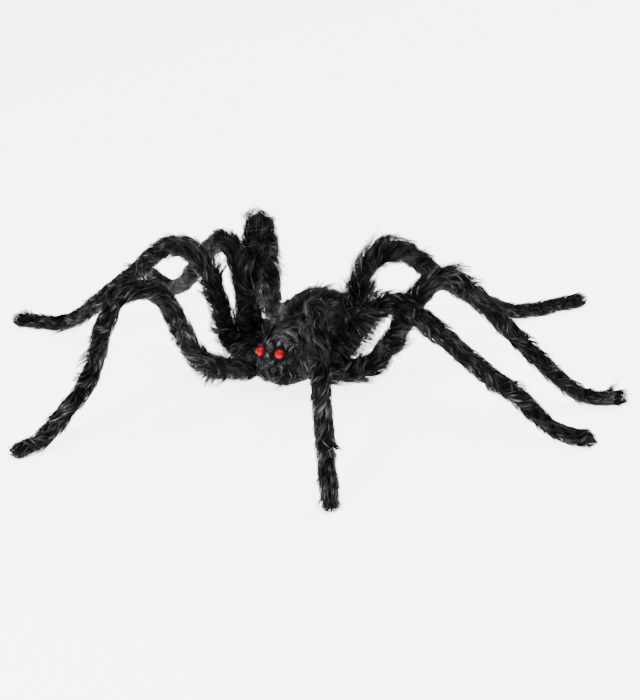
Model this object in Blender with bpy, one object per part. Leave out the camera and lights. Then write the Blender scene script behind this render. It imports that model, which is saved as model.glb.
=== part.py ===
"""Posable hairy toy spider: eight wire-cored fabric legs sewn into a stuffed body, two bead eyes.

Every soft piece is modelled as its stuffed shape without the pile of its fur. Lengths are in
millimetres in the tables and become metres when a mesh is made. The face looks along -Y, the
toy stands on z = 0, and the middle of its footprint is the origin.
"""

from math import cos, pi, radians, sin

import bmesh
import bpy
import numpy as np
from mathutils import Euler, Vector

MM = 0.001

# Two pieces that touch keep this gap to each other.
GAP = 0.35

# Legs: a sleeve of fur fabric, thickest a little way out from the body and thin at the foot.
LEG_SIDES = 10
LEG_RINGS = 24
ROOT_RADIUS = 7.4
THIGH_RADIUS = 8.6
THIGH_AT = 0.15
FOOT_RADIUS = 6.6
SEWN_DEPTH = 6.0
# The sleeve's radius changes at these shares of its length: seam, end of the neck, thigh, foot.
SWELL = ((0, ROOT_RADIUS), (0.04, ROOT_RADIUS), (THIGH_AT, THIGH_RADIUS), (1, FOOT_RADIUS))
# The blunt toe: (distance from the end, radius) of its rings, with no other ring in its room.
TOE_RINGS = ((5.0, FOOT_RADIUS), (1.5, 5.5), (0.0, 3.3))
TOE_ROOM = 7.0
# A foot that comes this near to the floor is pressed flat on it.
SOLE = 1.9
# Rings lie closer together in a bend: a bend of one radian per millimetre counts this many times.
BEND_WEIGHT = 45
# The room a seam takes up in the thorax reaches this far out from the leg's first bend.
SOCKET_REACH = 12.0
# A route is a smooth line in this many steps a bend; its direction is taken over this length each way.
ROUTE_STEPS = 16
LOOK = 4.0
SAMPLES = 400

# Wires: one in each leg, anchored in the stuffing of the thorax, ending short of the toe.
WIRE_SIDES = LEG_SIDES // 2
WIRE_RADIUS = 1.0
WIRE_ANCHOR = 10.0
WIRE_STOP = 14.0

# Body: two eggs turned about Y, (y, radius) from front to back, with cross-sections a little flat.
BODY_SIDES = 20
BODY_HEIGHT = 45.0
SQUASH = 0.95
THORAX = [(-58, 7), (-55.5, 13.5), (-50, 20), (-41, 25.5), (-30, 28.5), (-18, 29), (-6, 26.5),
          (4, 21.5), (11, 17)]
ABDOMEN = [(11, 17), (14, 23), (20, 30), (30, 36), (43, 38.5), (56, 36.5), (68, 30), (77, 20), (82, 9)]

# Eyes: beads on short shanks. The face is turned and tilted a little on the body.
EYE_RADIUS = 4.7
EYE_SHANK = (1.3, 9.0)
EYE_SIDES = 12
EYE_RINGS = 8
EYE_FROM_MIDDLE = 12.0
EYE_FORWARD = 33.5
EYE_UP = 12.5
FACE_MIDDLE = Vector((0, -20, 45))
FACE_TURN = Euler((0, radians(-9), radians(-8)))

SHARP = radians(50)

# Cheeks and temples: soft bulges low on the face and at its sides, as (sideways, forward, up,
# reach, height of the bulge).
CHEEKS = [(-13, 30, -10, 13, 5.0), (13, 30, -10, 13, 5.0), (-26, 18, -2, 19, 6.0), (26, 18, -2, 19, 6.0)]

# Each leg leaves the body at its root, in its own upright plane that faces along its bearing
# (degrees from +X, counter-clockwise from above). Its bends are (outwards, sideways, height).
LEGS = {
    "leg_right_1": ((-25, -35), -122, [
        (0, 0, 32), (24, 0, 33), (48, -1, 40), (67, -1, 53), (81, -1, 75), (99, -1, 117), (112, -1, 136),
        (130, -1, 143), (148, -1, 141), (160, -1, 128), (169, -1, 108), (186, -1, 61), (204, -1, 41),
        (227, -1, 19), (242, -1, 9), (254, -1, 7.2), (265, -1, 6.9)]),
    "leg_right_2": ((-28, -23), 177, [
        (0, 0, 45), (23, -3, 36), (39, -2, 35), (49, -2, 50), (57, -2, 80), (71, -2, 115), (89, -1, 131),
        (109, -1, 133), (130, -1, 121), (155, 0, 96), (183, 0, 71), (213, 1, 44), (241, 1, 21),
        (263, 3, 10), (289, 8, 8), (313, 16, 8)]),
    "leg_right_3": ((-27, -11), 145, [
        (0, 0, 33), (19, 1, 33), (36, 9, 38), (43, 11, 55), (44, 9, 80), (49, 11, 105), (60, 14, 126),
        (77, 16, 132), (103, 17, 119), (132, 16, 96), (162, 15, 69), (195, 12, 40), (228, 11, 19),
        (255, 9, 9), (281, 12, 8), (305, 14, 8)]),
    "leg_right_4": ((-22, 1), 114, [
        (0, 0, 45), (22, 14, 43), (40, 32, 43), (48, 39, 58), (51, 39, 80), (54, 37, 105), (58, 35, 130),
        (67, 30, 148), (77, 25, 130), (90, 24, 92), (104, 23, 56), (121, 22, 24), (136, 16, 9),
        (158, 9, 8), (187, -6, 8)]),
    "leg_left_1": ((24, -37), -57, [
        (0, 0, 45), (14, 2, 50), (27, 4, 76), (50, 5, 113), (76, 4, 137), (98, 3, 146), (118, 2, 136),
        (139, 2, 111), (159, 3, 86), (178, 4, 57), (189, 5, 33), (197, 6, 15), (202, 6, 0.6)]),
    "leg_left_2": ((27, -24), 26, [
        (0, 0, 31), (23, 4, 30), (43, 3, 32), (61, 3, 42), (77, 3, 65), (92, 2, 97), (109, 2, 124),
        (131, 2, 137), (148, 1, 124), (173, 1, 100), (201, 1, 70), (229, 0, 41), (253, 0, 19),
        (275, -1, 9), (307, 1, 8)]),
    "leg_left_3": ((27, -11), 5, [
        (0, 0, 45), (13, 4, 50), (26, 5, 64), (40, 4, 84), (56, 4, 104), (79, 4, 112), (103, 3, 101),
        (127, 3, 88), (150, 2, 72), (176, 2, 55), (199, 2, 42), (219, 1, 28), (239, 1, 14),
        (259, 1, 8.5), (280, 2, 8)]),
    "leg_left_4": ((23, 1), 65, [
        (0, 0, 33), (11, -7, 36), (19, -10, 53), (30, -6, 70), (42, 0, 84), (52, 5, 99), (61, 8, 114),
        (74, 8, 127), (94, 7, 128), (114, 5, 119), (142, 4, 93), (185, 3, 60), (231, 3, 30),
        (260, 2, 15), (286, 0, 9), (320, -7, 8), (354, -14, 8)]),
}

FINISHES = {
    "fur": ((0.012, 0.012, 0.013), 0.9, 0.0),
    "wire": ((0.55, 0.55, 0.56), 0.35, 1.0),
    "bead": ((0.8, 0.006, 0.008), 0.08, 0.0),
}


def clear_scene():
    for item in list(bpy.data.objects):
        bpy.data.objects.remove(item)


def finish(name):
    """The named material: a Principled BSDF with its colour, roughness and metallic value."""
    found = bpy.data.materials.get(name)
    if found:
        return found
    colour, roughness, metallic = FINISHES[name]
    made = bpy.data.materials.new(name)
    made.use_nodes = True
    surface = made.node_tree.nodes["Principled BSDF"]
    surface.inputs["Base Color"].default_value = (*colour, 1)
    surface.inputs["Roughness"].default_value = roughness
    surface.inputs["Metallic"].default_value = metallic
    return made


def add_object(name, bm, finish_name, cutter=False):
    """Turns a bmesh in millimetres into an object in metres."""
    bmesh.ops.recalc_face_normals(bm, faces=bm.faces)
    bmesh.ops.scale(bm, vec=(MM, MM, MM), verts=bm.verts)
    mesh = bpy.data.meshes.new(name)
    bm.to_mesh(mesh)
    bm.free()
    item = bpy.data.objects.new(name, mesh)
    bpy.context.scene.collection.objects.link(item)
    if cutter:
        item.hide_render = True
        item.display_type = "WIRE"
    else:
        mesh.materials.append(finish(finish_name))
        mesh.shade_smooth()
        mesh.set_sharp_from_angle(angle=SHARP)
    return item


def add_ring(bm, middle, across, upward, radius, sides):
    """A ring of vertices, turned so that one flat lies at the bottom."""
    half = pi / sides
    turns = [-pi / 2 + half + 2 * pi * k / sides for k in range(sides)]
    return [bm.verts.new(middle + radius * (cos(t) * across + sin(t) * upward)) for t in turns]


def join_rings(bm, one, two):
    for k in range(len(one)):
        after = (k + 1) % len(one)
        bm.faces.new((one[k], one[after], two[after], two[k]))


class Route:
    """The smooth line of one leg, from its wire's inner end to its toe."""

    def __init__(self, root, bearing, bends):
        turn = radians(bearing)
        out = np.array((cos(turn), sin(turn), 0))
        self.sideways = np.array((-out[1], out[0], 0))
        origin = np.array((*root, 0.0))
        rows = np.array([origin + o * out + s * self.sideways + (0, 0, h) for o, s, h in bends])
        inwards = (rows[0] - rows[1]) / np.linalg.norm(rows[0] - rows[1])
        seam = rows[0] + SEWN_DEPTH * inwards
        self.points = self.smooth(np.vstack((seam + WIRE_ANCHOR * inwards, seam, rows)))
        steps = np.linalg.norm(np.diff(self.points, axis=0), axis=1)
        self.travel = np.concatenate(([0], np.cumsum(steps)))
        self.length = self.travel[-1]
        self.sewn = WIRE_ANCHOR

    @staticmethod
    def smooth(rows):
        """A centripetal Catmull-Rom curve through the rows."""
        ends = 2 * rows[[0, -1]] - rows[[1, -2]]
        rows = np.vstack((ends[:1], rows, ends[1:]))
        found = []
        for a, b, c, d in zip(rows, rows[1:], rows[2:], rows[3:]):
            knots = np.cumsum([0] + [np.linalg.norm(v) ** 0.5 for v in (b - a, c - b, d - c)])
            for t in np.linspace(knots[1], knots[2], ROUTE_STEPS, endpoint=False)[:, None]:
                ab = (a * (knots[1] - t) + b * t) / knots[1]
                bc = (b * (knots[2] - t) + c * (t - knots[1])) / (knots[2] - knots[1])
                cd = (c * (knots[3] - t) + d * (t - knots[2])) / (knots[3] - knots[2])
                abc = (ab * (knots[2] - t) + bc * t) / knots[2]
                bcd = (bc * (knots[3] - t) + cd * (t - knots[1])) / (knots[3] - knots[1])
                found.append((abc * (knots[2] - t) + bcd * (t - knots[1])) / (knots[2] - knots[1]))
        return np.vstack((*found, rows[-2]))

    def at(self, travel):
        """Place, direction, sideways and upward directions at this length along the line."""
        spot = np.array([np.interp(travel, self.travel, c) for c in self.points.T])
        near = np.clip([travel - LOOK, travel + LOOK], 0, self.length)
        ends = [np.array([np.interp(n, self.travel, c) for c in self.points.T]) for n in near]
        along = (ends[1] - ends[0]) / np.linalg.norm(ends[1] - ends[0])
        across = self.sideways - along * (self.sideways @ along)
        across /= np.linalg.norm(across)
        return Vector(spot), Vector(along), Vector(across), Vector(np.cross(along, across))

    def stations(self, count):
        """Lengths along the sleeve, closer together where the leg bends."""
        travel = np.linspace(self.sewn, self.length, SAMPLES)
        along = np.array([self.at(t)[1] for t in travel])
        bend = np.linalg.norm(np.gradient(along, travel, axis=0), axis=1)
        weight = np.cumsum(1 + BEND_WEIGHT * bend)
        weight = (weight - weight[0]) / (weight[-1] - weight[0])
        return np.interp(np.linspace(0, 1, count), weight, travel)

    def radius(self, travel):
        """The sleeve swells from its seam to the thigh, then thins towards the foot."""
        share = (travel - self.sewn) / (self.length - self.sewn)
        return float(np.interp(share, *zip(*SWELL)))


def tube(bm, route, rows, sides):
    """Rings along a route joined in one skin. Rows are (length along the route, radius)."""
    rings = []
    for travel, radius in rows:
        spot, _, across, upward = route.at(travel)
        rings.append(add_ring(bm, spot, across, upward, radius, sides))
    for one, two in zip(rings, rings[1:]):
        join_rings(bm, one, two)
    return rings


def close_seam(bm, sleeve, bore):
    """The flat face round the bore: its ring has half as many sides as the sleeve's."""
    for k in range(WIRE_SIDES):
        after = (k + 1) % WIRE_SIDES
        bm.faces.new((bore[k], sleeve[2 * k + 1], sleeve[2 * k]))
        bm.faces.new((bore[k], bore[after], sleeve[2 * after], sleeve[2 * k + 1]))


def add_leg(name, route):
    """A sleeve with a bore for its wire, open at the seam."""
    stations = [s for s in route.stations(LEG_RINGS) if s < route.length - TOE_ROOM]
    toe = [(route.length - back, radius) for back, radius in TOE_RINGS]
    bm = bmesh.new()
    outside = tube(bm, route, [(s, route.radius(s)) for s in stations] + toe, LEG_SIDES)
    bm.faces.new(outside[-1])
    for vert in bm.verts:
        if vert.co.z < SOLE:
            vert.co.z = 0
    wired = [s for s in stations if s < route.length - WIRE_STOP]
    bore = tube(bm, route, [(s, WIRE_RADIUS + GAP) for s in wired], WIRE_SIDES)
    bm.faces.new(bore[-1])
    close_seam(bm, outside[0], bore[0])
    return add_object(name, bm, "fur"), wired


def add_wire(name, route, wired):
    """A wire along the stations of its leg's bore, with its anchor standing in beyond the seam."""
    bm = bmesh.new()
    rows = [(0, WIRE_RADIUS)] + [(s, WIRE_RADIUS) for s in wired[:-1]]
    rows.append((wired[-1] - 2 * GAP, WIRE_RADIUS))
    rings = tube(bm, route, rows, WIRE_SIDES)
    bm.faces.new(rings[0])
    bm.faces.new(rings[-1])
    return add_object(name, bm, "wire")


def add_socket(bm, route):
    """The room that a leg's seam and wire take up in the thorax: a stepped plug."""
    wire = (WIRE_RADIUS + GAP) / cos(pi / LEG_SIDES)
    sleeve = ROOT_RADIUS + GAP / cos(pi / LEG_SIDES)
    floor = route.sewn - GAP
    outer = route.sewn + SEWN_DEPTH + SOCKET_REACH
    rows = [(0, wire), (floor - 0.01, wire), (floor, sleeve), (outer, sleeve)]
    rings = tube(bm, route, rows, LEG_SIDES)
    bm.faces.new(rings[0])
    bm.faces.new(rings[-1])


def egg(bm, profile):
    """A closed solid turned about Y through (y, radius) rows, a little flattened."""
    rings = []
    for y, radius in profile:
        middle = Vector((0, y, BODY_HEIGHT))
        rings.append(add_ring(bm, middle, Vector((1, 0, 0)), Vector((0, 0, SQUASH)), radius, BODY_SIDES))
    for one, two in zip(rings, rings[1:]):
        join_rings(bm, one, two)
    bm.faces.new(rings[0])
    bm.faces.new(rings[-1])


def face_point(sideways, forward, up):
    """A place given in the face's own turned and tilted frame."""
    return FACE_MIDDLE + FACE_TURN.to_matrix() @ Vector((sideways, -forward, up))


def push_cheeks(bm):
    """Swells the skin outwards round each cheek's middle."""
    for sideways, forward, up, reach, height in CHEEKS:
        middle = face_point(sideways, forward, up)
        for vert in bm.verts:
            near = (vert.co - middle).length / reach
            if near < 1:
                vert.co += (vert.co - FACE_MIDDLE).normalized() * height * (1 - near * near) ** 2


def add_thorax(routes, eyes):
    """The front egg with cheeks, less the room for eight seams, eight wires and two beads."""
    bm = bmesh.new()
    egg(bm, THORAX)
    push_cheeks(bm)
    body = add_object("thorax", bm, "fur")
    sockets = bmesh.new()
    for route in routes:
        add_socket(sockets, route)
    for place in eyes:
        add_bead(sockets, place, GAP)
    cut(body, add_object("thorax_sockets", sockets, "fur", cutter=True))
    return body


def cut(item, cutter):
    modifier = item.modifiers.new("sockets", "BOOLEAN")
    modifier.operation = "DIFFERENCE"
    modifier.object = cutter


def add_bead(bm, place, grow=0.0):
    """A ball turned with its shank about the line from the face's middle through its place."""
    shank_radius, shank_length = EYE_SHANK
    radius = EYE_RADIUS + grow
    neck = radius * cos(pi / EYE_RINGS)
    rows = [(-shank_length - grow, shank_radius + grow), (-neck, shank_radius + grow)]
    turns = [pi - pi * k / EYE_RINGS for k in range(2, EYE_RINGS)]
    rows += [(radius * cos(t), radius * sin(t)) for t in turns]
    aim = (place - FACE_MIDDLE).to_track_quat("Z", "Y").to_matrix()
    rings = []
    for height, wide in rows:
        middle = place + aim @ Vector((0, 0, height))
        rings.append(add_ring(bm, middle, aim.col[0], aim.col[1], wide, EYE_SIDES))
    for one, two in zip(rings, rings[1:]):
        join_rings(bm, one, two)
    bm.faces.new(rings[0])
    bm.faces.new(rings[-1])


def add_eye(name, place):
    bm = bmesh.new()
    add_bead(bm, place)
    return add_object(name, bm, "bead")


def add_abdomen():
    bm = bmesh.new()
    (_, seam), *rest = ABDOMEN
    egg(bm, [(ABDOMEN[0][0] + GAP, seam), *rest])
    return add_object("abdomen", bm, "fur")


def centre_footprint(items):
    """Moves the meshes so that the middle of the whole footprint is the origin."""
    corners = np.array([v.co for item in items if not item.hide_render for v in item.data.vertices])
    middle = (corners.min(axis=0) + corners.max(axis=0)) / 2
    for item in items:
        for vert in item.data.vertices:
            vert.co.x -= middle[0]
            vert.co.y -= middle[1]
    print("moved by", [round(float(-m) / MM, 2) for m in middle[:2]], "mm")


def main():
    clear_scene()
    routes = {name: Route(*row) for name, row in LEGS.items()}
    for name, route in routes.items():
        _, wired = add_leg(name, route)
        add_wire(name.replace("leg", "wire"), route, wired)
        print(name, "is", round(route.length - route.sewn), "mm long")
    eyes = {
        "eye_right": face_point(-EYE_FROM_MIDDLE, EYE_FORWARD, EYE_UP),
        "eye_left": face_point(EYE_FROM_MIDDLE, EYE_FORWARD, EYE_UP),
    }
    for name, place in eyes.items():
        add_eye(name, place)
        print(name, "at", [round(v, 1) for v in place])
    add_thorax(routes.values(), eyes.values())
    add_abdomen()
    centre_footprint(list(bpy.data.objects))


main()
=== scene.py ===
# %% [markdown]
# # A posable hairy toy spider
#
# The toy is a fur-fabric body with eight sleeves for legs, a bendable wire in each, and two red
# beads for eyes. A plain CAD model already holds the sizes and the pose. This lesson dresses it:
# skins over the stuffed shapes, combed locks of fur on the skins, glossy beads, light and camera.
# Tables are in millimetres and meshes in metres. The face looks along -Y and the toy's left is +X.

from math import cos, pi, radians, sin

import bmesh
import bpy
import numpy as np
from mathutils import Euler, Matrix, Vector
from mathutils.kdtree import KDTree


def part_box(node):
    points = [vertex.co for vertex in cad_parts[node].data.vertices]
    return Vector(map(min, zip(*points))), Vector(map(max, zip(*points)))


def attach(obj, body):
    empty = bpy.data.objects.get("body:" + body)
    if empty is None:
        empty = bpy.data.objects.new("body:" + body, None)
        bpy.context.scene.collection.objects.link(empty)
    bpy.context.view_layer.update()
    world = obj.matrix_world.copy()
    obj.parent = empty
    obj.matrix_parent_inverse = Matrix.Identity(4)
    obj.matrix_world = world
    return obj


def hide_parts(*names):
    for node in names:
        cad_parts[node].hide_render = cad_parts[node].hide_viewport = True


MM = 0.001
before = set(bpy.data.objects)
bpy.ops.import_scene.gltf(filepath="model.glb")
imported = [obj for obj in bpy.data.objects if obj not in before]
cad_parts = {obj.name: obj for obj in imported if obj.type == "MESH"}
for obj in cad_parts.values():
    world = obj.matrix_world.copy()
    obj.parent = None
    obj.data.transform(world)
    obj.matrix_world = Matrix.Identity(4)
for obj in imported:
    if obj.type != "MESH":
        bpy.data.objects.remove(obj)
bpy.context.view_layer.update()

# %% [markdown]
# ## Where the body is
#
# The toy's own tables count from the middle of its chest line, while the frame's origin is the
# middle of the footprint. The abdomen tells how far apart they are: it is symmetric about x = 0
# and its rear end lies at a known y.

# %% The shift between the tables and the frame
REAR_END = 82.0
low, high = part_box("abdomen")
SHIFT = np.array([(low[0] + high[0]) / 2 / MM, high[1] / MM - REAR_END, 0.0])
print("shift", SHIFT.round(2), "mm")

# %% [markdown]
# ## Measures shared with the CAD model
#
# Legs leave the body at a root, each in an upright plane that faces along its bearing. The bends
# are (outwards, sideways, height). Body parts are turned profiles of (y, radius).

# %% Measures
ROOT_RADIUS = 7.4
THIGH_RADIUS = 8.6
FOOT_RADIUS = 6.6
SEWN_DEPTH = 6.0
TOE = 5.0
BODY_HEIGHT = 45.0
SQUASH = 0.95
THORAX = [(-58, 7), (-55.5, 13.5), (-50, 20), (-41, 25.5), (-30, 28.5), (-18, 29), (-6, 26.5),
          (4, 21.5), (11, 17)]
ABDOMEN = [(11, 17), (14, 23), (20, 30), (30, 36), (43, 38.5), (56, 36.5), (68, 30), (77, 20), (82, 9)]
FACE_MIDDLE = np.array((0, -20, 45.0))
FACE_TURN = np.array(Euler((0, radians(-9), radians(-8))).to_matrix())
EYE_RADIUS = 4.7
EYES = {"eye_right": (-12, 33.5, 12.5), "eye_left": (12, 33.5, 12.5)}
CHEEKS = [(-13, 30, -10, 13, 5.0), (13, 30, -10, 13, 5.0)]
TEMPLES = [(-26, 18, -2, 19, 6.0), (26, 18, -2, 19, 6.0)]
DOME = (-2, -38, 70)
DOME_SWEEP = (0.9, 0.4, 0.0)
LEGS = {
    "leg_right_1": ((-25, -35), -122, [
        (0, 0, 32), (24, 0, 33), (48, -1, 40), (67, -1, 53), (81, -1, 75), (99, -1, 117), (112, -1, 136),
        (130, -1, 143), (148, -1, 141), (160, -1, 128), (169, -1, 108), (186, -1, 61), (204, -1, 41),
        (227, -1, 19), (242, -1, 9), (254, -1, 7.2), (265, -1, 6.9)]),
    "leg_right_2": ((-28, -23), 177, [
        (0, 0, 45), (23, -3, 36), (39, -2, 35), (49, -2, 50), (57, -2, 80), (71, -2, 115), (89, -1, 131),
        (109, -1, 133), (130, -1, 121), (155, 0, 96), (183, 0, 71), (213, 1, 44), (241, 1, 21),
        (263, 3, 10), (289, 8, 8), (313, 16, 8)]),
    "leg_right_3": ((-27, -11), 145, [
        (0, 0, 33), (19, 1, 33), (36, 9, 38), (43, 11, 55), (44, 9, 80), (49, 11, 105), (60, 14, 126),
        (77, 16, 132), (103, 17, 119), (132, 16, 96), (162, 15, 69), (195, 12, 40), (228, 11, 19),
        (255, 9, 9), (281, 12, 8), (305, 14, 8)]),
    "leg_right_4": ((-22, 1), 114, [
        (0, 0, 45), (22, 14, 43), (40, 32, 43), (48, 39, 58), (51, 39, 80), (54, 37, 105), (58, 35, 130),
        (67, 30, 148), (77, 25, 130), (90, 24, 92), (104, 23, 56), (121, 22, 24), (136, 16, 9),
        (158, 9, 8), (187, -6, 8)]),
    "leg_left_1": ((24, -37), -57, [
        (0, 0, 45), (14, 2, 50), (27, 4, 76), (50, 5, 113), (76, 4, 137), (98, 3, 146), (118, 2, 136),
        (139, 2, 111), (159, 3, 86), (178, 4, 57), (189, 5, 33), (197, 6, 15), (202, 6, 0.6)]),
    "leg_left_2": ((27, -24), 26, [
        (0, 0, 31), (23, 4, 30), (43, 3, 32), (61, 3, 42), (77, 3, 65), (92, 2, 97), (109, 2, 124),
        (131, 2, 137), (148, 1, 124), (173, 1, 100), (201, 1, 70), (229, 0, 41), (253, 0, 19),
        (275, -1, 9), (307, 1, 8)]),
    "leg_left_3": ((27, -11), 5, [
        (0, 0, 45), (13, 4, 50), (26, 5, 64), (40, 4, 84), (56, 4, 104), (79, 4, 112), (103, 3, 101),
        (127, 3, 88), (150, 2, 72), (176, 2, 55), (199, 2, 42), (219, 1, 28), (239, 1, 14),
        (259, 1, 8.5), (280, 2, 8)]),
    "leg_left_4": ((23, 1), 65, [
        (0, 0, 33), (11, -7, 36), (19, -10, 53), (30, -6, 70), (42, 0, 84), (52, 5, 99), (61, 8, 114),
        (74, 8, 127), (94, 7, 128), (114, 5, 119), (142, 4, 93), (185, 3, 60), (231, 3, 30),
        (260, 2, 15), (286, 0, 9), (320, -7, 8), (354, -14, 8)]),
}
print(len(LEGS), "legs,", len(EYES), "eyes")

# %% [markdown]
# ## The line of a leg
#
# A sleeve follows its wire. A centripetal Catmull-Rom curve goes through every bend without the
# overshoot that a plain one has where bends lie close together. The frames along it stay level
# with the leg's own plane, so fur can be combed in (length along, turn round) coordinates.

# %% Routes
def unit(rows):
    """Each row divided by its length."""
    return rows / np.maximum(np.linalg.norm(rows, axis=-1, keepdims=True), 1e-9)


def catmull_rom(rows, steps=24):
    """A smooth curve through the rows, with this many steps from each to the next."""
    ends = 2 * rows[[0, -1]] - rows[[1, -2]]
    rows = np.vstack((ends[:1], rows, ends[1:]))
    found = []
    for a, b, c, d in zip(rows, rows[1:], rows[2:], rows[3:]):
        knots = np.cumsum([0] + [np.linalg.norm(v) ** 0.5 for v in (b - a, c - b, d - c)])
        t = np.linspace(knots[1], knots[2], steps, endpoint=False)[:, None]
        ab = (a * (knots[1] - t) + b * t) / knots[1]
        bc = (b * (knots[2] - t) + c * (t - knots[1])) / (knots[2] - knots[1])
        cd = (c * (knots[3] - t) + d * (t - knots[2])) / (knots[3] - knots[2])
        abc = (ab * (knots[2] - t) + bc * t) / knots[2]
        bcd = (bc * (knots[3] - t) + cd * (t - knots[1])) / (knots[3] - knots[1])
        found.append((abc * (knots[2] - t) + bcd * (t - knots[1])) / (knots[2] - knots[1]))
    return np.vstack((*found, rows[-2]))


LOOK = 4.0
TOE_END = 0.98


class Route:
    """The line of one leg, read at many lengths at once."""

    # Turns on a sleeve count the other way round than on an egg.
    hand = -1
    runs_past_end = True

    def __init__(self, root, bearing, bends):
        turn = radians(bearing)
        out = np.array((cos(turn), sin(turn), 0))
        self.sideways = np.array((-out[1], out[0], 0))
        origin = np.array((*root, 0.0)) + SHIFT
        rows = np.array([origin + o * out + s * self.sideways + (0, 0, h) for o, s, h in bends])
        inwards = unit(rows[0] - rows[1])
        points = catmull_rom(np.vstack((rows[0] + SEWN_DEPTH * inwards, rows)))
        travel = np.concatenate(([0], np.cumsum(np.linalg.norm(np.diff(points, axis=0), axis=1))))
        self.length = travel[-1]
        self.travel = np.arange(0, self.length, 1.0)
        self.points = np.stack([np.interp(self.travel, travel, c) for c in points.T], axis=1)
        ahead = np.clip(self.travel + LOOK, 0, self.length)
        behind = np.clip(self.travel - LOOK, 0, self.length)
        ends = [np.stack([np.interp(t, travel, c) for c in points.T], axis=1) for t in (ahead, behind)]
        self.along = unit(ends[0] - ends[1])
        self.across = unit(self.sideways - self.along * (self.along @ self.sideways)[:, None])
        self.upward = np.cross(self.along, self.across)

    def read(self, rows, travel):
        """Rows given at every length, read at these lengths."""
        return np.stack([np.interp(travel, self.travel, c) for c in rows.T], axis=-1)

    def over_end(self, travel, turn):
        """A sleeve has ends: a strand that passes one stays at it."""
        return np.clip(travel, 0, self.length), turn

    def into_toe(self, travel):
        """0 before the toe, rising to nearly 1 at its end."""
        return np.clip((travel - self.length + TOE) / TOE, 0, TOE_END)

    def radius(self, travel):
        """Narrow at the seam, fullest at the thigh, thinner towards the foot, round at the toe."""
        radii = (ROOT_RADIUS, ROOT_RADIUS, THIGH_RADIUS, FOOT_RADIUS)
        wide = np.interp(travel / self.length, (0, 0.04, 0.15, 1), radii)
        return wide * np.sqrt(1 - self.into_toe(travel) ** 2)

    def skin(self, travel, turn, share=1.0):
        """Places, outward normals and the direction towards the toe, on the sleeve."""
        along = unit(self.read(self.along, travel))
        across = unit(self.read(self.across, travel))
        upward = unit(self.read(self.upward, travel))
        normal = across * np.cos(turn)[..., None] + upward * np.sin(turn)[..., None]
        place = self.read(self.points, travel) + normal * (share * self.radius(travel))[..., None]
        into_toe = self.into_toe(travel)[..., None]
        normal = unit(normal * np.sqrt(1 - into_toe ** 2) + along * into_toe)
        return place, normal, along


ROUTES = {name: Route(*row) for name, row in LEGS.items()}
for name, route in ROUTES.items():
    print(name, "is", round(float(route.length)), "mm along")

# %% [markdown]
# ## The turned body
#
# Thorax and abdomen are eggs turned about Y. Reading a point by (share of the profile, turn)
# gives the same coordinates as a leg has, so one combing routine serves both. The cheeks and
# temples are soft bulges that swell the thorax outwards from the middle of the face.

# %% Eggs
POLE_RADIUS = 0.5
SLOPE_STEP = 1.5
SLOPE_TURN = 0.05


def on_face(sideways, forward, up):
    """A place given in the face's own turned and tilted frame."""
    return FACE_MIDDLE + FACE_TURN @ np.array((sideways, -forward, up))


class Egg:
    """A turned profile with soft ends, read at many points at once."""

    hand = 1
    runs_past_end = False

    def __init__(self, profile, bulges=()):
        front, rear = profile[0][0], profile[-1][0]
        rows = np.array([(front, POLE_RADIUS), *profile, (rear, POLE_RADIUS)], float)
        self.travel = np.concatenate(([0], np.cumsum(np.linalg.norm(np.diff(rows, axis=0), axis=1))))
        self.rows = rows
        self.length = self.travel[-1]
        self.bulges = bulges

    def radius(self, travel):
        """How wide the profile is, without its bulges."""
        return np.interp(travel, self.travel, self.rows[:, 1])

    def over_end(self, travel, turn):
        """A strand that passes a pole comes down on the far side of it."""
        turn = turn + pi * ((travel < 0) | (travel > self.length))
        travel = np.abs(travel)
        return self.length - np.abs(self.length - travel), turn

    def place(self, travel, turn, share=1.0):
        """Places on the turned profile, pushed out where a bulge is."""
        y = np.interp(travel, self.travel, self.rows[:, 0])
        wide = np.interp(travel, self.travel, self.rows[:, 1]) * share
        spot = np.stack((wide * np.cos(turn), y, BODY_HEIGHT + SQUASH * wide * np.sin(turn)), axis=-1)
        for sideways, forward, up, reach, height in self.bulges:
            away = spot - on_face(sideways, forward, up)
            near = np.clip(np.linalg.norm(away, axis=-1) / reach, 0, 1)[..., None]
            spot = spot + unit(spot - FACE_MIDDLE) * height * (1 - near ** 2) ** 2
        return spot + SHIFT

    def skin(self, travel, turn, share=1.0):
        """Places, outward normals and the direction towards the rear."""
        place = self.place(travel, turn, share)
        ahead = self.place(np.clip(travel + SLOPE_STEP, 0, self.length), turn, share)
        behind = self.place(np.clip(travel - SLOPE_STEP, 0, self.length), turn, share)
        left = self.place(travel, turn + SLOPE_TURN, share)
        round_it = left - self.place(travel, turn - SLOPE_TURN, share)
        along = unit(ahead - behind)
        normal = unit(np.cross(along, round_it))
        return place, normal, along


BODIES = {"thorax": Egg(THORAX, CHEEKS + TEMPLES), "abdomen": Egg(ABDOMEN)}
for name, body in BODIES.items():
    place, normal, along = body.skin(np.array([0.5 * body.length]), np.array([pi / 2]))
    print(name, "top at", place[0].round(1), "normal", normal[0].round(2))

# %% [markdown]
# ## Node graphs as sums
#
# Shader nodes read better as arithmetic. `Value` wraps a socket, so `1 - tone * tone` builds the
# two Math nodes it says. A Math node would turn a colour grey, so colours go through Mix. Any
# other node comes from `Graph.add`: its type, its settings, then what its sockets hold.

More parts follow.
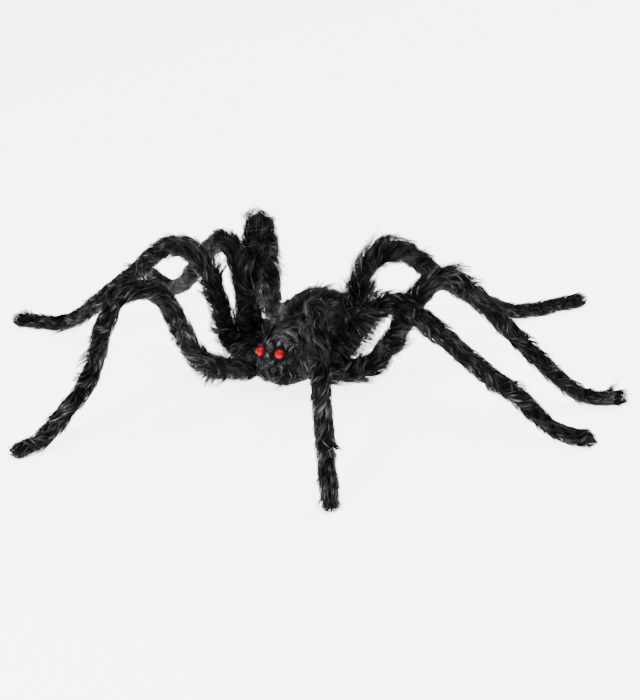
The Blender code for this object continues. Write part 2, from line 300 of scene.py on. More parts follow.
# %% A small graph language
class Value:
    """An output socket with operators. Each operator adds one node."""

    def __init__(self, graph, socket):
        self.graph = graph
        self.socket = socket

    def math(self, operation, *others):
        """A Math node with this value first."""
        return self.graph.add("ShaderNodeMath", {"operation": operation}, self, *others)

    def __sub__(self, other):
        return self.math("SUBTRACT", other)

    def __rsub__(self, other):
        return self.graph.add("ShaderNodeMath", {"operation": "SUBTRACT"}, other, self)

    def __mul__(self, other):
        return self.math("MULTIPLY", other)

    def __rmul__(self, other):
        return self.math("MULTIPLY", other)

    def sibling(self, place):
        """Another output of the same node."""
        return Value(self.graph, self.socket.node.outputs[place])

    def smooth(self, low, high):
        """0 below low, 1 above high, with a soft step between them."""
        settings = {"interpolation_type": "SMOOTHSTEP"}
        return self.graph.add("ShaderNodeMapRange", settings, self, low, high, 0.0, 1.0)


class Graph:
    """The nodes of one material."""

    def __init__(self, name):
        self.material = bpy.data.materials.new(name)
        self.material.use_nodes = True
        self.nodes = self.material.node_tree.nodes
        self.links = self.material.node_tree.links
        self.surface = self.nodes["Principled BSDF"]

    def add(self, kind, settings, *inputs, output=0):
        """Adds a node of any kind. Inputs are values or numbers for its sockets, in order, or None."""
        node = self.nodes.new(kind)
        for key, value in settings.items():
            setattr(node, key, value)
        for place, value in enumerate(inputs):
            self.plug(value, node.inputs[place])
        return Value(self, node.outputs[output])

    def plug(self, value, socket):
        """Links a value to a socket, or sets the socket to a number or colour."""
        if isinstance(value, Value):
            self.links.new(value.socket, socket)
        elif value is not None:
            socket.default_value = value

    def mix(self, share, one, two):
        """Two colours mixed by a share. A Mix node's own colour sockets come sixth and seventh."""
        unused = (None,) * 5
        return self.add("ShaderNodeMix", {"data_type": "RGBA"}, share, *unused, one, two, output=2)

    def set(self, **inputs):
        """Sets or links the surface's inputs, named with _ for a space."""
        for name, value in inputs.items():
            self.plug(value, self.surface.inputs[name.replace("_", " ")])
        return self.material


def grey(value, blue=1.0):
    """A grey of this brightness, with its blue a little stronger where asked."""
    return (value, value, value * blue, 1)


print("a dark grey:", grey(0.02))

# %% [markdown]
# ## Materials
#
# Acrylic pile is dyed black through, yet each fibre is smooth, so it shines where it turns
# towards the light. One strand here stands for several fibres, so paler outer parts, a painted
# sheen, stand in for much of that shining. A strand's tone runs along u of its own map and root
# to tip runs along v: deep black at the root, and anything from black to painted grey sheen at
# the tip. Colour follows that map only, so it stays with the strand however the fur is combed.

# %% Fur, backing, bead and wire
def noise(graph, scale, detail, roughness):
    """Noise in a piece's own space. The first two sockets, Vector and W, stay as they are."""
    return graph.add("ShaderNodeTexNoise", {}, None, None, scale, detail, roughness)


def fur_material():
    """Black pile whose outer part is greyer, a painted sheen, where its strand's tone is high."""
    graph = Graph("fur")
    strand_map = graph.add("ShaderNodeUVMap", {"uv_map": "OFBake"})
    tone = graph.add("ShaderNodeSeparateXYZ", {}, strand_map)
    near_root = 1 - tone.sibling(1).smooth(0.05, 0.75)
    dark = graph.mix(tone, grey(0.0008), grey(0.003, 1.05))
    # Painted sheen: the grey of the outer parts stands in for the fibres' gloss, more where the tone is
    # high.
    painted_sheen = graph.mix(tone * tone * tone, grey(0.0005), grey(0.42, 1.03))
    colour = graph.mix(near_root, painted_sheen, dark)
    return graph.set(Base_Color=colour, Roughness=0.34, Specular_IOR_Level=0.025)


def backing_material():
    """Woven backing, black and dull, with a fine grain."""
    graph = Graph("backing")
    grain = noise(graph, 900.0, 3.0, 0.6)
    colour = graph.mix(grain.smooth(0.3, 0.7), grey(0.002), grey(0.006))
    bump = graph.add("ShaderNodeBump", {}, 0.5, 0.0005)
    graph.plug(grain, bump.socket.node.inputs["Height"])
    return graph.set(Base_Color=colour, Roughness=0.95, Specular_IOR_Level=0.1, Normal=bump)


def bead_material():
    """Deep red acrylic, faintly clouded, with a hard gloss."""
    graph = Graph("bead")
    cloud = noise(graph, 260.0, 2.0, 0.5)
    colour = graph.mix(cloud.smooth(0.3, 0.7), (0.24, 0.0, 0.003, 1), (0.27, 0.0, 0.004, 1))
    return graph.set(Base_Color=colour, Roughness=0.08, Specular_IOR_Level=0.12)


def wire_material():
    """Bare steel."""
    graph = Graph("wire")
    grain = noise(graph, 700.0, 2.0, 0.5)
    colour = graph.mix(grain.smooth(0.3, 0.7), grey(0.5), grey(0.6))
    return graph.set(Base_Color=colour, Roughness=0.35, Metallic=1.0)


FUR = fur_material()
BACKING = backing_material()
BEAD = bead_material()
WIRE = wire_material()
print("materials:", [m.name for m in (FUR, BACKING, BEAD, WIRE)])

# %% [markdown]
# ## Meshes from arrays
#
# Fur is hundreds of thousands of small faces. A mesh made from number arrays in one go is far
# quicker than one that is put together face by face, and it comes out the same on every run.

# %% Meshes from arrays
def add_mesh(name, verts, faces, material):
    """A smooth mesh from millimetre vertices and faces that all have the same number of corners."""
    mesh = bpy.data.meshes.new(name)
    corners = faces.shape[1]
    mesh.vertices.add(len(verts))
    mesh.vertices.foreach_set("co", (verts * MM).astype(np.float32).ravel())
    mesh.loops.add(faces.size)
    mesh.loops.foreach_set("vertex_index", faces.astype(np.int32).ravel())
    mesh.polygons.add(len(faces))
    mesh.polygons.foreach_set("loop_start", np.arange(0, faces.size, corners, dtype=np.int32))
    mesh.update(calc_edges=True)
    mesh.validate()
    mesh.shade_smooth()
    mesh.materials.append(material)
    item = bpy.data.objects.new(name, mesh)
    bpy.context.scene.collection.objects.link(item)
    return item


def close_ends(mesh, index, count):
    """Closes the first and last rings of a grid onto its last two vertices."""
    bm = bmesh.new()
    bm.from_mesh(mesh)
    bm.verts.ensure_lookup_table()
    for ring, tip in ((index[0][::-1], count - 2), (index[-1], count - 1)):
        for one, two in zip(ring, np.roll(ring, -1)):
            bm.faces.new((bm.verts[one], bm.verts[two], bm.verts[tip])).smooth = True
    bmesh.ops.recalc_face_normals(bm, faces=bm.faces)
    bm.to_mesh(mesh)
    bm.free()


print("arrays are in millimetres and meshes in metres: 1 mm is", MM)

# %% [markdown]
# ## Skins
#
# A skin is the stuffed sleeve or ball under the pile: a fine grid over the same coordinates.
# It lies a little under the CAD solid's surface, as a backing does under its pile, and it is
# what makes the fur opaque.

# %% Skins
BODY_SKIN = 0.96
LEG_SKIN = 0.95
LEAST_SKIN_HEIGHT = 0.4
# Rings along each shape and sides round it.
BODY_GRID = (44, 56)
LEG_GRID = (110, 18)


def add_skin(name, shape, rings, sides, share):
    """A closed grid over a shape, with its two ends drawn to a point."""
    travel = np.linspace(0, shape.length, rings)
    turn = np.linspace(0, 2 * pi, sides, endpoint=False)
    grid_t, grid_a = np.meshgrid(travel, turn, indexing="ij")
    place = shape.skin(grid_t.ravel(), grid_a.ravel(), share)[0].reshape(rings, sides, 3)
    place[..., 2] = np.maximum(place[..., 2], LEAST_SKIN_HEIGHT)
    index = np.arange(rings * sides).reshape(rings, sides)
    after = np.roll(index, -1, axis=1)
    quads = np.stack((index[:-1], after[:-1], after[1:], index[1:]), axis=-1).reshape(-1, 4)
    ends = place[[0, -1]].mean(axis=1)
    verts = np.vstack((place.reshape(-1, 3), ends))
    item = add_mesh(name + "_skin", verts, quads, BACKING)
    close_ends(item.data, index, len(verts))
    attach(item, "root")
    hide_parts(name)


for name, body in BODIES.items():
    add_skin(name, body, *BODY_GRID, BODY_SKIN)
for name, route in ROUTES.items():
    add_skin(name, route, *LEG_GRID, LEG_SKIN)
print("skins:", len(BODIES) + len(ROUTES))

# %% [markdown]
# ## The line of a strand
#
# A strand's line leaves the skin at the strand's lift, then lies over along its lay and curls
# sideways. One line hugs the skin and another runs straight on from the root. Each strand takes
# its own place between the two, because short pile follows the body and long pile stands off it.

# %% Strand lines
STEPS = np.array([0.0, 0.34, 0.7, 1.0])
FORWARD = 0.97
LEAST_TURN_RADIUS = 6.0
PAST_TOE = 0.5


def flat_on(rows, normal):
    """Directions made square to the normals."""
    return unit(rows - normal * (rows * normal).sum(axis=1)[:, None])


def strand_lines(shape, fur, share):
    """The four places along each strand, (N, 4, 3): part way from hugging the skin to a straight run."""
    t = STEPS[None]
    length, bent = fur["length"][:, None], fur["bent"][:, None]
    forward = FORWARD * length * np.cos(bent) * t
    sideways = length * (np.sin(bent) * t + fur["curl"][:, None] * t ** 2)
    height = length * fur["lift"][:, None] * (t - fur["droop"][:, None] * t ** 2)
    travel = fur["travel"][:, None] + forward
    inside = np.clip(travel, 0, shape.length)
    turn = fur["turn"][:, None] + sideways / np.maximum(shape.radius(inside), LEAST_TURN_RADIUS)
    place, normal, along = shape.skin(*shape.over_end(travel, turn), share)
    past = (travel - inside)[..., None] * shape.runs_past_end
    hang = np.array((0, 0, -1.0)) * (length * fur["hang"][:, None] * t ** 2)[..., None]
    hugging = place + normal * height[..., None] + along * past * PAST_TOE
    root, up, ahead = fur["root"][:, None], fur["normal"][:, None], fur["along"][:, None]
    across = shape.hand * np.cross(up, ahead)
    straight = root + ahead * forward[..., None] + across * sideways[..., None] + up * height[..., None]
    stray = fur["stray"][:, None, None]
    return hugging * (1 - stray) + straight * stray + hang


print("shares of the length where a strand bends:", STEPS)

# %% [markdown]
# ## Locks
#
# Strands of one lock lean to the same tip, and that is what makes pile look combed and handled
# instead of mown. A lock is every root that is nearest to one of some random centres. Over the
# locks goes a swirl, a sum of slow waves, for the hands that have stroked the fur.

# %% Locks and swirls
GATHER_CURVE = 1.3
WAVES = 5
# A vector of three normal numbers is about 1.7 long, and five waves seldom add up to over 3.
NORMAL_LENGTH = 1.7
SUM_REACH = 3


def nearest(points, centres):
    """For each point, which centre is nearest."""
    tree = KDTree(len(centres))
    for k, centre in enumerate(centres):
        tree.insert(centre, k)
    tree.balance()
    return np.array([tree.find(p)[1] for p in points])


def gather(fur, lines, lock):
    """Pulls each strand's outer part towards the tip of its lock."""
    count = lock.max() + 1
    size = np.maximum(np.bincount(lock, minlength=count), 1)[:, None]
    tips = np.stack([np.bincount(lock, lines[:, -1, k], count) for k in range(3)], axis=1) / size
    pull = fur["gather"][:, None, None] * STEPS[None, :, None] ** GATHER_CURVE
    return lines + pull * (tips[lock][:, None] - lines[:, -1:])


def swirl(places, seed, size):
    """A smooth random number of about -1 to 1 at each place: a sum of waves about that size."""
    rng = np.random.default_rng(seed)
    heights = 0
    for _ in range(WAVES):
        wave = rng.normal(size=3) * 2 * pi / size / NORMAL_LENGTH
        heights = heights + np.sin(places @ wave + rng.uniform(0, 2 * pi))
    return heights / SUM_REACH


print("one swirl at the origin:", swirl(np.zeros((1, 3)), 1, 42).round(2))

# %% [markdown]
# ## Ribbons
#
# Each strand becomes a ribbon with two quads and a pointed end. A ribbon is far lighter than a
# tube and catches light like a fibre where it rolls. Its map holds the strand's tone across and
# root to tip along, which is all that the fur's material reads.

# %% Ribbons
WIDTHS = np.array([1.0, 0.9, 0.6, 0.0])
LEAST_LINE_HEIGHT = 0.15
LEAST_STRAND_HEIGHT = 0.1
# A ribbon's seven vertices are three on the left, three on the right and the tip.
QUADS = np.array([0, 3, 4, 1, 1, 4, 5, 2])
TIP = np.array([2, 5, 6])
ALONG_RIBBON = np.array([0.01, 0.34, 0.7, 0.01, 0.34, 0.7, 0.99])
ACROSS_RIBBON = np.array([-1, -1, -1, 1, 1, 1, 0])
TONE_ACROSS = 0.012


def add_ribbons(name, verts, tone):
    """One mesh of ribbons: two quads and a triangle for each strand."""
    count = len(tone)
    corner = np.concatenate((QUADS, TIP))
    first = np.arange(count)[:, None]
    loops = (len(ALONG_RIBBON) * first + corner).astype(np.int32)
    starts = (len(corner) * first + np.array([0, 4, 8])).astype(np.int32)
    mesh = bpy.data.meshes.new(name)
    mesh.vertices.add(len(verts))
    mesh.vertices.foreach_set("co", (verts * MM).astype(np.float32).ravel())
    mesh.loops.add(loops.size)
    mesh.loops.foreach_set("vertex_index", loops.ravel())
    mesh.polygons.add(3 * count)
    mesh.polygons.foreach_set("loop_start", starts.ravel())
    mesh.update(calc_edges=True)
    mesh.shade_smooth()
    uv = np.empty((count, len(corner), 2), np.float32)
    uv[..., 0] = tone[:, None] + TONE_ACROSS * ACROSS_RIBBON[corner]
    uv[..., 1] = ALONG_RIBBON[corner]
    layer = mesh.uv_layers.new(name="OFBake")
    layer.data.foreach_set("uv", uv.ravel())
    mesh.materials.append(FUR)
    item = bpy.data.objects.new(name, mesh)
    bpy.context.scene.collection.objects.link(item)
    return item


def add_fur(name, fur, lines):
    """The ribbons of one piece's fur, with tone and root to tip in the map OFBake."""
    lines[..., 2] = np.maximum(lines[..., 2], LEAST_LINE_HEIGHT)
    ahead = unit(lines[:, 1:] - lines[:, :-1])
    ahead = np.concatenate((ahead, ahead[:, -1:]), axis=1)
    flat = unit(np.cross(fur["normal"][:, None], ahead))
    up = np.cross(ahead, flat)
    roll = fur["roll"][:, None, None]
    across = flat * np.cos(roll) + up * np.sin(roll)
    half = 0.5 * fur["width"][:, None, None] * WIDTHS[None, :, None]
    left = lines - across * half
    right = lines + across * half
    verts = np.concatenate((left[:, :3], right[:, :3], lines[:, 3:]), axis=1)
    verts[..., 2] = np.maximum(verts[..., 2], LEAST_STRAND_HEIGHT)
    item = add_ribbons(name, verts.reshape(-1, 3), fur["tone"])
    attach(item, "root")


print("a strand has", len(ALONG_RIBBON), "vertices and", len(QUADS) // 4, "quads below its point")

# %% [markdown]
# ## How strands vary
#
# Fur fabric has two scales of order. Locks of about ten strands share a tip. Larger wisps of
# several locks share a turn, a shade and a tilt. Each measure has a mean and a spread at each scale, so
# the tables say how wild the fur is at a glance.

# %% Spreads and limits
# Means, and standard deviations from wisp to wisp, from lock to lock and from strand to strand.
MEAN = {"tone": 0.2, "stray": 0.45, "droop": 0.74, "gather": 0.62, "width": 0.37}
WISP = {"turn": 0.38, "lift": 0.32, "tone": 0.05, "stray": 0.3, "curl": 0.26, "roll": 0.5}
LOCK = {"turn": 0.16, "tone": 0.09, "curl": 0.1}
STRAND = {"turn": 0.07, "lift": 0.15, "tone": 0.24, "length": 0.16, "droop": 0.07, "gather": 0.14,
          "roll": 0.35, "width": 0.07}
LIMITS = {"wisp_lift": (0.35, 2.0), "stray": (0, 1), "length": (0.5, 1.5), "lift": (0.08, 1.1),
          "droop": (0.2, 0.95), "gather": (0, 0.95), "width": (0.2, 0.7), "tone": (0.03, 0.97)}


def limited(key, rows):
    """Rows kept within the limits of one measure."""
    return np.clip(rows, *LIMITS[key])


print("turns vary by wisp, lock and strand:", WISP["turn"], LOCK["turn"], STRAND["turn"])

# %% [markdown]
# ## Combing
#
# One routine combs every piece. It draws a turn, a lift and the other measures for wisps, locks
# and strands, and adds them up. A few wisps are proud: they stand up out of the pile, as they do
# on fur that has been handled, more often where it is shaggy and never where it faces down.

# %% Combing
LOCKS_IN_WISP = 7
LEAST_LOCKS = 40
LEAST_WISPS = 12
SWIRL_TURN = 0.5
SWIRL_SIZE = 42
PROUD_CHANCE = 0.05
PROUD_IN_SHAG = 4
SHAGGY = 1.25
PROUD_LIFT = 1.9
PROUD_DROOP = -0.45
PROUD_GATHER = 0.4
PROUD_FROM = -0.1


def comb(seed, root, bent, length, lift, wanted, hang=0.0, shag=1.0, painted_shine=0.0, loose=1.0):
    """Strand measures for every root on one piece, in about the wanted number of locks.

    Turns are in radians from the direction along the piece. Lift, droop and gather are shares of
    a strand's length, and loose says how far strands run straight instead of hugging the skin.
    """
    travel, turn, place, normal, along = root
    rng = np.random.default_rng(seed)
    count = len(place)
    locks = max(LEAST_LOCKS, int(wanted))
    wisps = max(LEAST_WISPS, int(wanted / LOCKS_IN_WISP))
    lock = nearest(place, place[rng.choice(count, locks, replace=False)])
    wisp = nearest(place, place[rng.choice(count, wisps, replace=False)])
    wisp_turn = rng.normal(0, WISP["turn"], wisps)[wisp]
    lock_turn = rng.normal(0, LOCK["turn"], locks)[lock]
    own_turn = SWIRL_TURN * swirl(place, seed + 1, SWIRL_SIZE) + wisp_turn + lock_turn
    bent = bent + own_turn + rng.normal(0, STRAND["turn"], count)
    wisp_lift = limited("wisp_lift", rng.normal(1, WISP["lift"], wisps))[wisp]
    chance = PROUD_CHANCE * np.where(np.asarray(shag) > SHAGGY, PROUD_IN_SHAG, 1)
    chance = chance * (normal[:, 2] > PROUD_FROM)
    proud = np.where(rng.random(wisps)[wisp] < chance, PROUD_LIFT, 1.0)
    # Tone varies at random; the grey tips it brings are painted sheen, and painted highlight from the
    # face adds to it.
    tone = MEAN["tone"] + WISP["tone"] * rng.normal(size=wisps)[wisp]
    tone = tone + LOCK["tone"] * rng.normal(size=locks)[lock]
    tone = tone + STRAND["tone"] * rng.normal(size=count) + painted_shine
    stray = loose * rng.normal(MEAN["stray"], WISP["stray"], wisps)[wisp]
    length = length * limited("length", rng.normal(1, STRAND["length"], count))
    lift = lift * wisp_lift * proud * rng.normal(1, STRAND["lift"], count)
    droop = rng.normal(MEAN["droop"], STRAND["droop"], count) + PROUD_DROOP * (proud - 1)
    curl = rng.normal(0, WISP["curl"], wisps)[wisp] + rng.normal(0, LOCK["curl"], locks)[lock]
    gathered = rng.normal(MEAN["gather"], STRAND["gather"], count) + PROUD_GATHER * (proud - 1)
    roll = rng.normal(0, WISP["roll"], wisps)[wisp] + rng.normal(0, STRAND["roll"], count)
    width = rng.normal(MEAN["width"], STRAND["width"], count)
    fur = {
        "travel": travel,
        "turn": turn,
        "root": place,
        "normal": normal,
        "along": flat_on(along, normal),
        "bent": bent,
        "stray": limited("stray", stray),
        "length": length,
        "lift": limited("lift", lift),
        "droop": limited("droop", droop),
        "curl": curl,
        "gather": limited("gather", gathered),
        "roll": roll,
        "hang": hang * np.ones(count),
        "width": limited("width", width),
        "tone": limited("tone", tone),
    }
    return fur, lock


print("one wisp in", round(1 / PROUD_CHANCE), "stands proud on smooth pile")

# %% [markdown]
# ## Roots
#
# A turned shape is wider in its middle than at its ends. Roots drawn evenly along it and round
# it would crowd at the ends, so more of them are dropped where the shape is narrow.

# %% Sowing
TRIES = 3


def sow(shape, count, first, last, rng):
    """Roots spread evenly by area over a shape between two lengths."""
    tries = TRIES * count
    travel = rng.uniform(first, last, tries)
    turn = rng.uniform(0, 2 * pi, tries)
    here = shape.radius(travel)
    keep = np.flatnonzero(rng.random(tries) < here / here.max())[:count]
    return travel[keep], turn[keep]


print("tries for each root:", TRIES)

# %% [markdown]
# ## The legs' fur
#
# The pile on a sleeve is longest at the hip and shortest at the foot. Handling has left some legs
# shaggier than others: pile that hangs under a hip, and a ruffled place where a hand has held a
# knee. Tables give these by leg, so that each leg can be combed again without a change of code.

# %% Leg fur
# Seeds lie so far apart that no two pieces draw the same numbers.
SOW_SEED = 100
COMB_SEED = 200
LEG_STRANDS = 16000
FIRST_ROOT = 9.0
# Shares of a leg's length, and the pile's length there.
LEG_PILE_AT = (0, 0.12, 0.25, 0.7, 1)
LEG_PILE = (19, 18, 15, 13.5, 11)
LEG_LIFT = 0.46
LEG_LOCK_AREA = 11
MEAN_LEG_RADIUS = 7.5
RUFFLE = 0.5
RUFFLE_REACH = 0.05
PLAIN_HANG = 0.06
HANG_AT = (0, 0.18, 0.28)
SHAG_AT = (0, 0.03, 0.3, 0.5, 0.8, 0.9)
# How far length follows the shag.
SHAG_LENGTH = 0.4
# How far the pile stands out before the knee and beyond it, against the plain pile of a shin.
SHAG = {"leg_right_1": (1.15, 1), "leg_right_2": (1.4, 1), "leg_right_3": (1.1, 1),
        "leg_right_4": (1.2, 1.8), "leg_left_1": (1.3, 1), "leg_left_2": (1.3, 1),
        "leg_left_3": (1.5, 1), "leg_left_4": (1.65, 1)}
# The pile under some hips hangs, and one place on some legs, as a share of the length, is ruffled.
HANG = {"leg_right_4": 0.3, "leg_right_2": 0.7, "leg_left_3": 0.9}
RUFFLED = {"leg_left_4": 0.29, "leg_left_2": 0.45, "leg_right_4": 0.44}
total = 0
for number, (name, route) in enumerate(ROUTES.items()):
    rng = np.random.default_rng(SOW_SEED + number)
    travel, turn = sow(route, LEG_STRANDS, FIRST_ROOT, route.length, rng)
    place, normal, along = route.skin(travel, turn, LEG_SKIN)
    share = travel / route.length
    length = np.interp(share, LEG_PILE_AT, LEG_PILE)
    hang = np.interp(share, HANG_AT, (1, 1, 0)) * HANG.get(name, PLAIN_HANG)
    wanted = 2 * pi * MEAN_LEG_RADIUS * route.length / LEG_LOCK_AREA
    thigh, shin = SHAG[name]
    shag = np.interp(share, SHAG_AT, (1, thigh, thigh, shin, shin, 1))
    if name in RUFFLED:
        shag = shag + RUFFLE * np.exp(-(((share - RUFFLED[name]) / RUFFLE_REACH) ** 2))
    length = length * (1 - SHAG_LENGTH + SHAG_LENGTH * shag)
    root = (travel, turn, place, normal, along)
    lift = LEG_LIFT * shag
    fur, lock = comb(COMB_SEED + 10 * number, root, 0.0, length, lift, wanted, hang, shag)
    add_fur(name + "_fur", fur, gather(fur, strand_lines(route, fur, LEG_SKIN), lock))
    total += len(place)
print("leg strands:", total)

# %% [markdown]
# ## The face
#
# Fur over a face has a parting and swirls. The pile sweeps back over the dome of the head, runs
# round each cheek, leaves the jaw outwards, and keeps clear of the beads, where it is trimmed
# short so that they show. Each of these pulls the lay of the strands near it.

# %% Face
DOME_REACH = 17
CHEEK_REACH = 15
JAW_REACH = 12
JAW_FROM_CHEEK = (9, 4, -3)
JAW_SWEEP = (0.8, -0.1, -0.6)
EYE_REACH = 13
EYE_CLEARANCE = 1.8
# How strongly each part of the face turns the pile, and how much paler a painted highlight makes it
# there.
SWEEP = {"dome": 1.5, "cheek": 1.4, "jaw": 2.5, "eye": 1.5}
PAINTED_SHINE = {"dome": 0.22, "jaw": 0.12, "eye": 0.25}
FACE_LOOSE = 0.3
JAW_LOOSE = 0.6
JAW_TRIM = 0.1
# Round a bead, length grows from nothing at one gap to all of it at the next, but is never less.
TRIM_FROM = 2
TRIM_TO = 21
TRIMMED = 0.3


def comb_face(place, normal, along, length):
    """Sweeps the pile over the dome, round the cheeks, out over the jaw and away from the beads."""
    away = np.linalg.norm(place - SHIFT - DOME, axis=1)
    dome = np.exp(-((away / DOME_REACH) ** 2))[:, None]
    lay = unit(along * (1 - dome) + SWEEP["dome"] * dome * flat_on(np.array(DOME_SWEEP), normal))
    # Painted highlight: the pile is paler over the dome, over the jaw and round the beads.
    painted_shine = PAINTED_SHINE["dome"] * dome[:, 0]
    loose = np.full(len(place), FACE_LOOSE)
    for sideways, forward, up, *_ in CHEEKS:
        away = place - SHIFT - on_face(sideways, forward, up)
        near = np.exp(-((np.linalg.norm(away, axis=1) / CHEEK_REACH) ** 2))[:, None]
        hand = np.sign(sideways)
        round_cheek = unit(np.cross(normal, away))
        lay = unit(lay * (1 - near) + hand * near * SWEEP["cheek"] * round_cheek)
        mirror = np.array((hand, 1, 1))
        jaw = flat_on(mirror * JAW_SWEEP, normal)
        from_jaw = np.linalg.norm(away - mirror * JAW_FROM_CHEEK, axis=1)
        low = np.exp(-((from_jaw / JAW_REACH) ** 2))[:, None]
        lay = unit(lay * (1 - low) + SWEEP["jaw"] * low * jaw)
        length = length * (1 - JAW_TRIM * low[:, 0])
        loose = loose + JAW_LOOSE * low[:, 0]
        painted_shine = painted_shine + PAINTED_SHINE["jaw"] * low[:, 0]
    keep = np.ones(len(place), bool)
    for sideways, forward, up in EYES.values():
        away = place - SHIFT - on_face(sideways, forward, up)
        gap = np.linalg.norm(away, axis=1)
        near = np.exp(-((gap / EYE_REACH) ** 2))[:, None]
        lay = unit(lay * (1 - near) + SWEEP["eye"] * near * flat_on(away, normal))
        length = length * np.clip((gap - TRIM_FROM) / (TRIM_TO - TRIM_FROM), TRIMMED, 1)
        painted_shine = painted_shine + PAINTED_SHINE["eye"] * near[:, 0]
        keep &= gap > EYE_RADIUS + EYE_CLEARANCE
    lay = flat_on(lay, normal)
    side = np.cross(normal, along)
    bent = np.arctan2((lay * side).sum(axis=1), (lay * along).sum(axis=1))
    return bent, length, painted_shine, loose, keep


print("the face has", len(CHEEKS), "cheeks and", len(EYES), "trimmed places")

# %% [markdown]
# ## The body's fur
#
# The pile on the balls is longer than on the legs and runs from front to rear. The thorax takes
# the face's combing on top of that.

# %% Body fur
BODY_SEED = 500
STRANDS_IN_LOCK = 13
BODY_LOOSE = 0.7


def add_body_fur(name, body, count, length, lift, seed):
    """The pile of one ball. On the thorax the face is combed as well."""
    rng = np.random.default_rng(seed)
    travel, turn = sow(body, count, 0, body.length, rng)
    place, normal, along = body.skin(travel, turn, BODY_SKIN)
    length = np.full(len(place), float(length))
    bent = np.zeros(len(place))
    painted_shine = np.zeros(len(place))
    loose = np.full(len(place), BODY_LOOSE)
    # Pile on the underside lies closer.
    lift = lift * np.interp(normal[:, 2], (-0.9, 0), (0.6, 1))
    if name == "thorax":
        bent, length, painted_shine, loose, keep = comb_face(place, normal, along, length)
        # Low on the face it hugs the skin, or it would stand out below the chin.
        height = place[:, 2] - BODY_HEIGHT
        loose = loose * np.interp(height, (-8, 8), (0, 1))
        length = length * np.interp(height, (-16, 2), (0.8, 1))
        bent, length, lift, painted_shine, loose = (v[keep] for v in (bent, length, lift, painted_shine, loose))
        travel, turn, place, normal, along = (v[keep] for v in (travel, turn, place, normal, along))
    root = (travel, turn, place, normal, along)
    wanted = len(place) / STRANDS_IN_LOCK
    fur, lock = comb(seed + 1, root, bent, length, lift, wanted, painted_shine=painted_shine, loose=loose)
    add_fur(name + "_fur", fur, gather(fur, strand_lines(body, fur, BODY_SKIN), lock))
    return len(place)


# For each ball: how many strands, their length and their lift.
BODY_STRANDS = {"thorax": (22000, 21, 0.6), "abdomen": (30000, 22, 0.58)}
for number, (name, (count, length, lift)) in enumerate(BODY_STRANDS.items()):
    count = count
    made = add_body_fur(name, BODIES[name], count, length, lift, BODY_SEED + 20 * number)
    print(name, "strands:", made)

# %% [markdown]
# ## Eyes
#
# Each eye is a turned acrylic bead on a shank. The beads are the only hard, shiny spots, so
# they get a fine mesh of their own in place of the CAD model's facets.

# %% Beads
BEAD_RINGS = 28
BEAD_SIDES = 40
SHANK_RADIUS = 1.3
SHANK_TURN = 0.28
SHANK_DEPTH = 13.7
LEAST_BEAD_RADIUS = 0.02


def add_eye(name, spot):
    """A bead turned about the line from the face's middle, with its shank running inwards."""
    middle = on_face(*spot)
    aim = unit(middle - FACE_MIDDLE)
    middle = middle + SHIFT
    side = unit(np.cross(aim, (0, 0, 1.0)))
    up = np.cross(side, aim)
    turns = np.linspace(SHANK_TURN, pi, BEAD_RINGS)
    profile = [(EYE_RADIUS - SHANK_DEPTH, SHANK_RADIUS), (-EYE_RADIUS * cos(SHANK_TURN), SHANK_RADIUS)]
    profile += [(-EYE_RADIUS * cos(t), max(EYE_RADIUS * sin(t), LEAST_BEAD_RADIUS)) for t in turns]
    around = np.linspace(0, 2 * pi, BEAD_SIDES, endpoint=False)
    circle = side[None] * np.cos(around)[:, None] + up[None] * np.sin(around)[:, None]
    verts = np.vstack([middle + aim * h + circle * r for h, r in profile])
    index = np.arange(len(verts)).reshape(len(profile), BEAD_SIDES)
    after = np.roll(index, -1, axis=1)
    quads = np.stack((index[:-1], after[:-1], after[1:], index[1:]), axis=-1).reshape(-1, 4)
    ends = np.array([middle + aim * profile[0][0], middle + aim * EYE_RADIUS])
    verts = np.vstack((verts, ends))
    item = add_mesh(name + "_bead", verts, quads, BEAD)
    close_ends(item.data, index, len(verts))
    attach(item, "root")
    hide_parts(name)
    print(name, "at", middle.round(1))


for name, spot in EYES.items():
    add_eye(name, spot)

# %% [markdown]
# ## Wires
#
# The wire in each leg is what holds a bend. Its sleeve hides it, so the CAD model's own wire
# stays as it is and only takes on bare metal.

# %% Wires
wires = [item for name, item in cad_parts.items() if name.startswith("wire")]
for item in wires:
    item.data.materials.clear()
    item.data.materials.append(WIRE)
print("wires:", len(wires))

# %% [markdown]
# ## Floor and sky
#
# A plain pale floor that glows softly has no edge, and it throws light up under the toy, where
# lamps don't reach. A weak even sky fills in what is left.

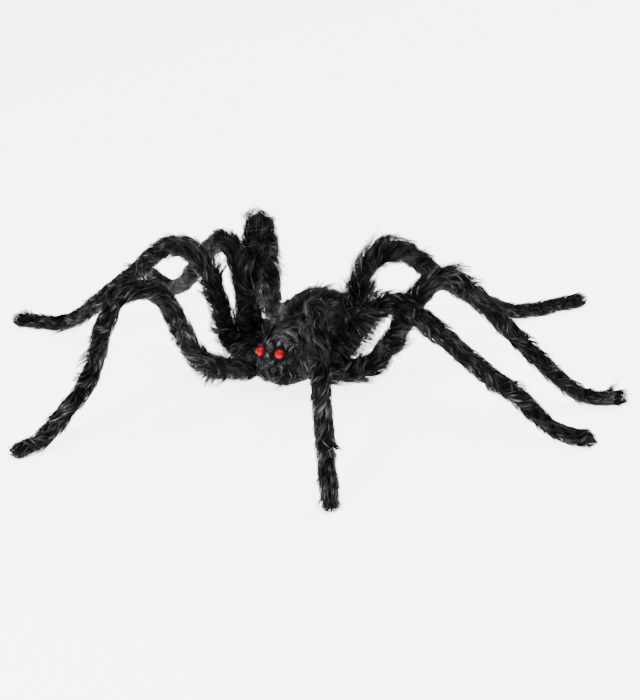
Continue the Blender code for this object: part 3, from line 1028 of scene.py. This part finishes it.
# %% Floor and sky
bpy.ops.mesh.primitive_plane_add(size=30, location=(0, 0, 0))
floor = bpy.context.object
floor.name = "floor"
paint = Graph("floor")
glow = {"Emission_Color": grey(1.0), "Emission_Strength": 4.5}
floor.data.materials.append(paint.set(Base_Color=grey(0.95), Roughness=1.0, **glow))

world = bpy.data.worlds.new("studio")
world.use_nodes = True
sky = world.node_tree.nodes["Background"]
sky.inputs["Color"].default_value = grey(1.0)
sky.inputs["Strength"].default_value = 0.33
bpy.context.scene.world = world
print("floor:", [round(v) for v in floor.dimensions[:2]], "m")

# %% [markdown]
# ## Light
#
# Black fur only shows by what it reflects, so the light is wide and soft, with more of it from
# behind and above than from the front. A small lamp in front gives the beads their highlights.

# %% Lamps
LIT_SPOT = (0.04, -0.03, 0.06)


def add_area(name, place, size, power):
    """A square lamp that faces the toy. Places and sizes are in metres."""
    light = bpy.data.lights.new(name, "AREA")
    light.shape = "SQUARE"
    light.size = size
    light.energy = power
    item = bpy.data.objects.new(name, light)
    item.location = place
    item.rotation_euler = (Vector(place) - Vector(LIT_SPOT)).to_track_quat("Z", "Y").to_euler()
    bpy.context.scene.collection.objects.link(item)


add_area("top", (0.2, 0.6, 3.2), 3.0, 130)
add_area("back", (1.0, 1.8, 1.2), 1.2, 40)
add_area("key", (-1.1, -1.6, 1.5), 0.8, 8)
add_area("spark", (-0.1, -1.5, 1.4), 0.3, 44)

# %% [markdown]
# ## Camera
#
# The toy is seen from its front left, from about 26 degrees above its feet, through a long lens
# that keeps the near leg from looking larger than the others.

# %% Camera
CAMERA_FROM = (740, -1351, 790)
CAMERA_AT = (22, -2, 45)
LENS = 95.6
SENSOR = 36
camera_data = bpy.data.cameras.new("camera")
camera_data.sensor_fit = "HORIZONTAL"
camera_data.sensor_width = SENSOR
camera_data.lens = LENS
camera = bpy.data.objects.new("camera", camera_data)
aim = (SHIFT + np.array(CAMERA_AT)) * MM
camera.location = (SHIFT + np.array(CAMERA_FROM)) * MM
camera.rotation_euler = (camera.location - Vector(aim)).to_track_quat("Z", "Y").to_euler()
bpy.context.scene.collection.objects.link(camera)
bpy.context.scene.camera = camera
print("the camera stands", round((camera.location - Vector(aim)).length, 2), "m away")
